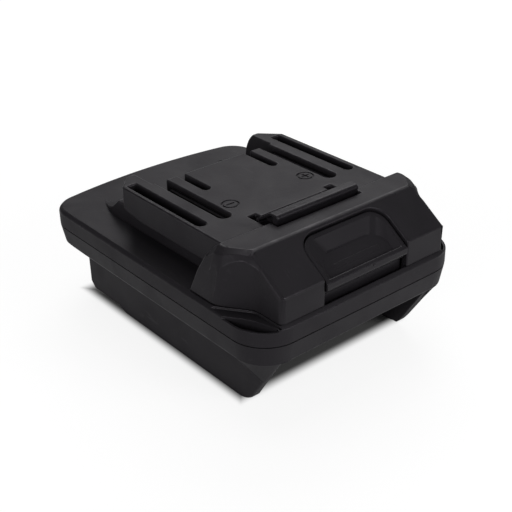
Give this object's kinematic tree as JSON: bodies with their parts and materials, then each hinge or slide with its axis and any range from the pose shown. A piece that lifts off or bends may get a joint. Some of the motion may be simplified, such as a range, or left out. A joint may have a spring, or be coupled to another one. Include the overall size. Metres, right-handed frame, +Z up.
{
  "type": "tool battery adapter",
  "caption": "Slide-on adapter between a slide-in tool battery and a cordless tool: deck with undercut rails, contact channels, scooped release block with a sprung hook, and channelled feet.",
  "frame": {"origin": "middle of the plate's length and width, on the level its feet stand on", "axes": "+Z up from the feet to the rails, +Y from the release button to the end that enters the tool, +X to the plus side"},
  "size_m": [0.075, 0.1054, 0.0493],
  "materials": {
    "housing": "fine spark-eroded texture, black glass-filled nylon",
    "latch": "fine texture, slightly smoother on the button's dish and the hook's edge",
    "insulator": "plain moulded black insulator",
    "contact": "stamped and tinned edge",
    "spring_steel": "drawn wire and spring strip",
    "screw": "zinc plated",
    "lead_black": "silicone insulation",
    "lead_red": "silicone insulation",
    "sleeve": "shrink tube"
  },
  "bodies": {
    "adapter": {"deck_frame": "housing", "rail_block": "housing", "lower_shell": "housing", "spring_left": "spring_steel", "spring_right": "spring_steel", "clip_holder": "insulator", "clip_negative": "contact", "clip_positive": "contact", "clamp_springs": "spring_steel", "lead_negative": "lead_black", "lead_positive": "lead_red", "lead_sleeves": "sleeve", "blade_holder": "insulator", "blade_negative": "contact", "blade_positive": "contact", "sense_blades": "contact", "housing_screws": "screw", "block_screws": "screw", "holder_screws": "screw"},
    "latch": {"release_latch": "latch"}
  },
  "joints": [
    {"name": "latch_slide", "type": "slide", "parent": "adapter", "child": "latch", "axis": [0, 0, -1], "range_m": [0, 0.0038], "stiffness_N_per_m": 2400, "springref_m": -0.003, "deforming": ["spring_left", "spring_right"]}
  ]
}
